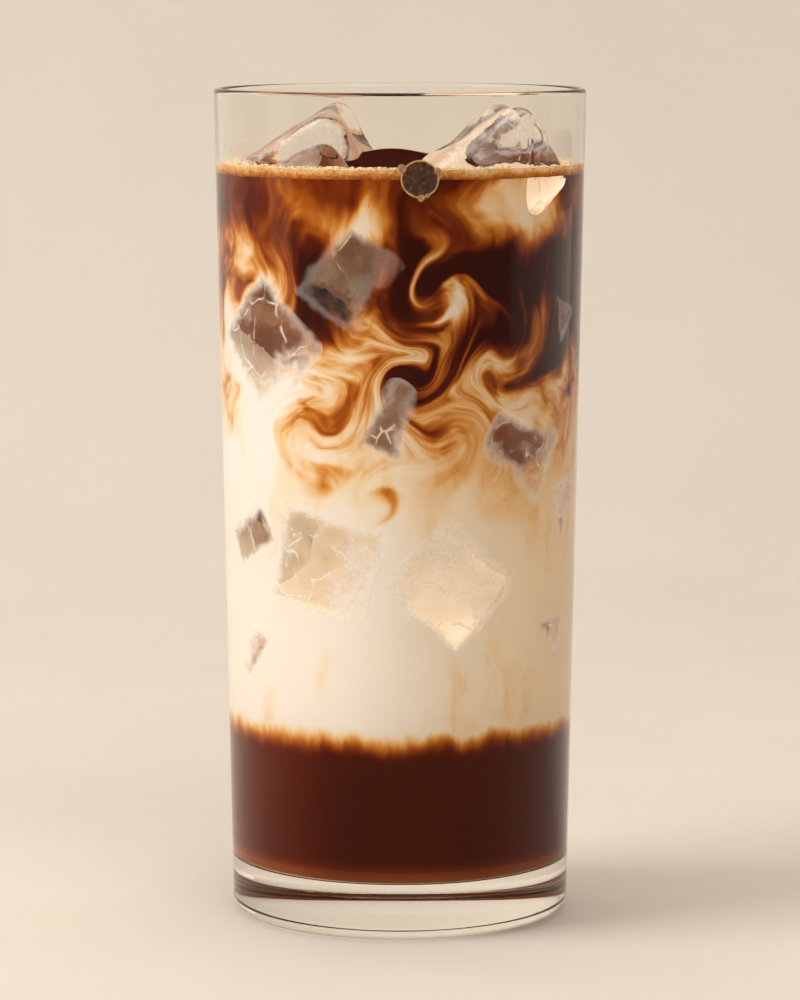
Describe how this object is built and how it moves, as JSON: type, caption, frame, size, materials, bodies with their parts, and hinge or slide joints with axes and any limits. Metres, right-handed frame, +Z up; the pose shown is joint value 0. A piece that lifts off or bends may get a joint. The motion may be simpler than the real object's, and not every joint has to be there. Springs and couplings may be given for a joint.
{
  "type": "iced latte",
  "caption": "Iced latte in a tall straight-sided glass: dark coffee, milk and swirled coffee in layers, with floating ice.",
  "frame": {"origin": "centre of the ring that the glass stands on, at table height", "axes": "+Z up along the glass's axis, -Y towards the front"},
  "size_m": [0.067, 0.067, 0.15],
  "materials": {
    "glass": "clear",
    "dark_coffee": "gloss",
    "milk": "gloss",
    "swirled_coffee": "gloss",
    "froth": "matte",
    "ice": "clear"
  },
  "bodies": {
    "root": {"glass": "glass", "coffee_lower": "dark_coffee", "milk": "milk", "coffee_upper": "swirled_coffee", "froth": "froth", "ice_left": "ice", "ice_front": "ice", "ice_right": "ice", "ice_back": "ice"}
  },
  "joints": []
}
